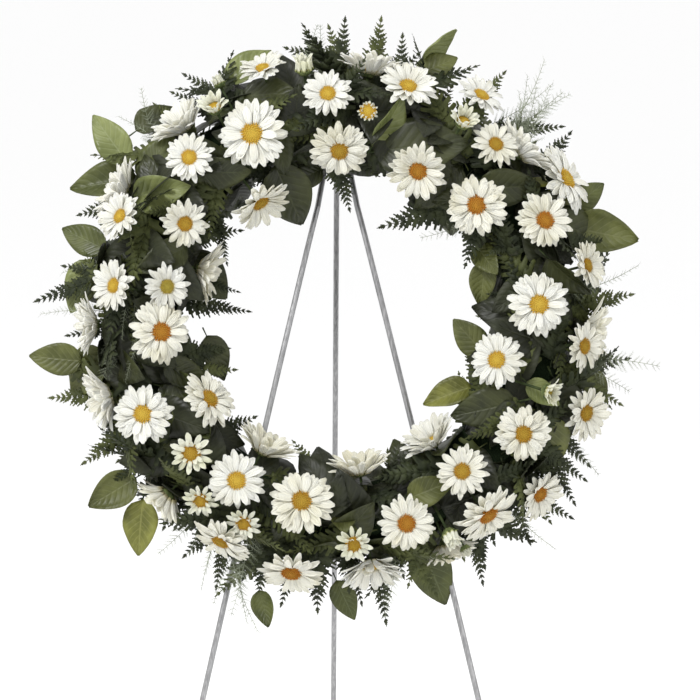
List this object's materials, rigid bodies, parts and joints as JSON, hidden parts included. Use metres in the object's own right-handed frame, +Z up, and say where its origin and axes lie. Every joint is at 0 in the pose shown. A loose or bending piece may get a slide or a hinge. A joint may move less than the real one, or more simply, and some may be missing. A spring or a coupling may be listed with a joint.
{
  "type": "funeral wreath on easel",
  "caption": "Round funeral wreath of white daisy flowers, broad leaves and fern on a foam ring, hung on a folding three-legged rod easel.",
  "frame": {"origin": "on the floor, in the middle of the easel's footprint", "axes": "+Z up; the wreath faces -Y; +X to the right seen from the front"},
  "size_m": [0.6154, 0.6124, 1.2638],
  "materials": {
    "easel_steel": "satin",
    "fasteners": "satin",
    "foot_caps": "matte",
    "ring_tray": "satin",
    "floral_foam": "matte",
    "florist_wire": "satin",
    "foliage": "matte",
    "daisy_flowers": "matte"
  },
  "bodies": {
    "wreath_and_front_legs": {"crossbar": "easel_steel", "daisy_01": "daisy_flowers", "daisy_02": "daisy_flowers", "daisy_03": "daisy_flowers", "daisy_04": "daisy_flowers", "daisy_05": "daisy_flowers", "daisy_06": "daisy_flowers", "daisy_07": "daisy_flowers", "daisy_08": "daisy_flowers", "daisy_09": "daisy_flowers", "daisy_10": "daisy_flowers", "daisy_11": "daisy_flowers", "daisy_12": "daisy_flowers", "daisy_13": "daisy_flowers", "daisy_14": "daisy_flowers", "daisy_15": "daisy_flowers", "daisy_16": "daisy_flowers", "daisy_17": "daisy_flowers", "daisy_18": "daisy_flowers", "daisy_19": "daisy_flowers", "daisy_20": "daisy_flowers", "daisy_21": "daisy_flowers", "daisy_22": "daisy_flowers", "daisy_23": "daisy_flowers", "daisy_24": "daisy_flowers", "daisy_25": "daisy_flowers", "daisy_26": "daisy_flowers", "daisy_27": "daisy_flowers", "daisy_28": "daisy_flowers", "foam_ring": "floral_foam", "foot_cap_left": "foot_caps", "foot_cap_right": "foot_caps", "front_leg_left": "easel_steel", "front_leg_right": "easel_steel", "greens_01": "foliage", "greens_02": "foliage", "greens_03": "foliage", "greens_04": "foliage", "greens_05": "foliage", "greens_06": "foliage", "greens_07": "foliage", "greens_08": "foliage", "greens_09": "foliage", "greens_10": "foliage", "greens_11": "foliage", "greens_12": "foliage", "hanger_wire": "florist_wire", "head_bracket": "easel_steel", "hinge_bolt": "fasteners", "hinge_nut": "fasteners", "hinge_spacer_left": "fasteners", "hinge_spacer_right": "fasteners", "ring_tray": "ring_tray", "tie_wire_left": "florist_wire", "tie_wire_right": "florist_wire", "wreath_hook": "easel_steel"},
    "rear_leg": {"rear_leg": "easel_steel", "rear_leg_eye": "easel_steel", "foot_cap_rear": "foot_caps"}
  },
  "joints": [
    {"name": "rear_leg_fold", "type": "hinge", "parent": "wreath_and_front_legs", "child": "rear_leg", "pos_m": [0, -0.02737, 1.11423], "axis": [-1, 0, 0], "range_deg": [0, 28]}
  ]
}
